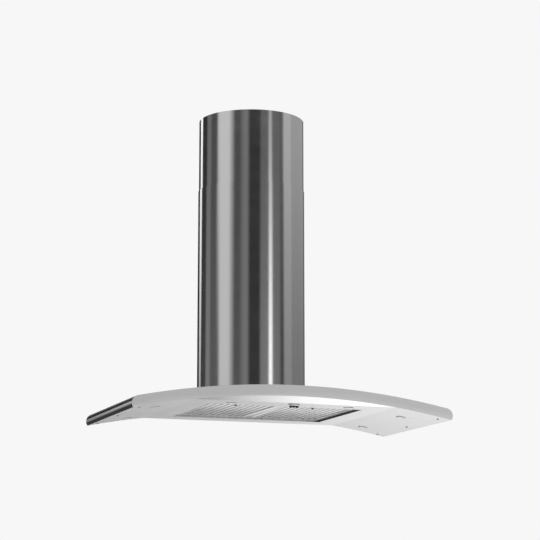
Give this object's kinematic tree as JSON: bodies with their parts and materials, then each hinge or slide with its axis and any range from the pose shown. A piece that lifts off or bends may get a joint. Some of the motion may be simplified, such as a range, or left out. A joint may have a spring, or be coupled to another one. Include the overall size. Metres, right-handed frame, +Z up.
{
  "type": "curved wall range hood",
  "caption": "Wall-mounted range hood: a shallow arched steel canopy with rolled ends, baffle filters, spot lamps and push buttons below, under a round telescopic chimney.",
  "frame": {"origin": "middle of the canopy's back, on the wall, 24 mm above the flat underside", "axes": "+Z up, +X to the right seen from the front, +Y into the wall, so the front faces -Y"},
  "size_m": [0.9, 0.47, 0.8839],
  "materials": {
    "polished_steel": "polished sheet steel",
    "polished_chimney": "bright rolled steel with upright reflections",
    "satin_steel": "fine satin sheet steel",
    "galvanised_steel": "dull zinc-coated sheet",
    "filter_steel": "pressed steel baffles",
    "dark_screw": "dark screw",
    "black_plastic": "black, slight sheen",
    "housing_plastic": "grey moulded",
    "impeller_plastic": "dark grey moulded",
    "board_green": "circuit board",
    "motor_case": "dark enamelled motor",
    "lamp_aluminium": "turned, satin",
    "lamp_diffuser": "milky diffuser"
  },
  "bodies": {
    "hood": {"cable_gland": "black_plastic", "centre_pan": "satin_steel", "control_board": "board_green", "control_pod": "polished_steel", "end_rail_left": "galvanised_steel", "end_rail_right": "galvanised_steel", "filter_recess": "polished_steel", "flap_pin": "galvanised_steel", "foot_clips": "galvanised_steel", "front_fascia": "satin_steel", "front_filler": "polished_steel", "lamp_bodies": "lamp_aluminium", "lamp_driver": "housing_plastic", "lamp_lenses": "lamp_diffuser", "lower_cover": "polished_chimney", "motor": "motor_case", "motor_arms": "galvanised_steel", "outlet_adapter": "housing_plastic", "rear_panel": "galvanised_steel", "scroll_front": "housing_plastic", "scroll_rear": "housing_plastic", "terminal_box": "black_plastic", "top_cover": "polished_steel", "wall_frame": "galvanised_steel", "wing_panel_left": "satin_steel", "wing_panel_right": "satin_steel", "wing_screws": "dark_screw"},
    "upper_chimney": {"upper_cover": "polished_chimney", "top_bracket": "galvanised_steel", "bracket_screws": "dark_screw"},
    "filter_left": {"filter_frame_left": "filter_steel", "lower_baffles_left": "filter_steel", "upper_baffles_left": "filter_steel"},
    "filter_right": {"filter_frame_right": "filter_steel", "lower_baffles_right": "filter_steel", "upper_baffles_right": "filter_steel"},
    "latch_left": {"filter_latch_left": "black_plastic"},
    "latch_right": {"filter_latch_right": "black_plastic"},
    "button_1": {"button_1": "black_plastic"},
    "button_2": {"button_2": "black_plastic"},
    "button_3": {"button_3": "black_plastic"},
    "fan": {"impeller": "impeller_plastic", "motor_shaft": "galvanised_steel"},
    "flap_left": {"damper_flap_left": "black_plastic"},
    "flap_right": {"damper_flap_right": "black_plastic"}
  },
  "joints": [
    {"name": "chimney_slide", "type": "slide", "parent": "hood", "child": "upper_chimney", "axis": [0, 0, 1], "range_m": [-0.2, 0.28]},
    {"name": "filter_left_drop", "type": "hinge", "parent": "hood", "child": "filter_left", "pos_m": [0, -0.0625, -0.0185], "axis": [1, 0, 0], "range_deg": [0, 75]},
    {"name": "latch_left_slide", "type": "slide", "parent": "filter_left", "child": "latch_left", "axis": [0, -1, 0], "range_m": [0, 0.004]},
    {"name": "filter_right_drop", "type": "hinge", "parent": "hood", "child": "filter_right", "pos_m": [0, -0.0625, -0.0185], "axis": [1, 0, 0], "range_deg": [0, 75]},
    {"name": "latch_right_slide", "type": "slide", "parent": "filter_right", "child": "latch_right", "axis": [0, -1, 0], "range_m": [0, 0.004]},
    {"name": "button_1_press", "type": "slide", "parent": "hood", "child": "button_1", "axis": [0, 0, 1], "range_m": [0, 0.0015], "stiffness_N_per_m": 400, "springref_m": -0.001},
    {"name": "button_2_press", "type": "slide", "parent": "hood", "child": "button_2", "axis": [0, 0, 1], "range_m": [0, 0.0015], "stiffness_N_per_m": 400, "springref_m": -0.001},
    {"name": "button_3_press", "type": "slide", "parent": "hood", "child": "button_3", "axis": [0, 0, 1], "range_m": [0, 0.0015], "stiffness_N_per_m": 400, "springref_m": -0.001},
    {"name": "fan_spin", "type": "hinge", "parent": "hood", "child": "fan", "pos_m": [-0.009, -0.099, 0.136], "axis": [0, 1, 0], "continuous": true},
    {"name": "flap_left_swing", "type": "hinge", "parent": "hood", "child": "flap_left", "pos_m": [0, -0.099, 0.2676], "axis": [0, 1, 0], "range_deg": [0, 75]},
    {"name": "flap_right_swing", "type": "hinge", "parent": "hood", "child": "flap_right", "pos_m": [0, -0.099, 0.2676], "axis": [0, -1, 0], "range_deg": [0, 75]}
  ]
}
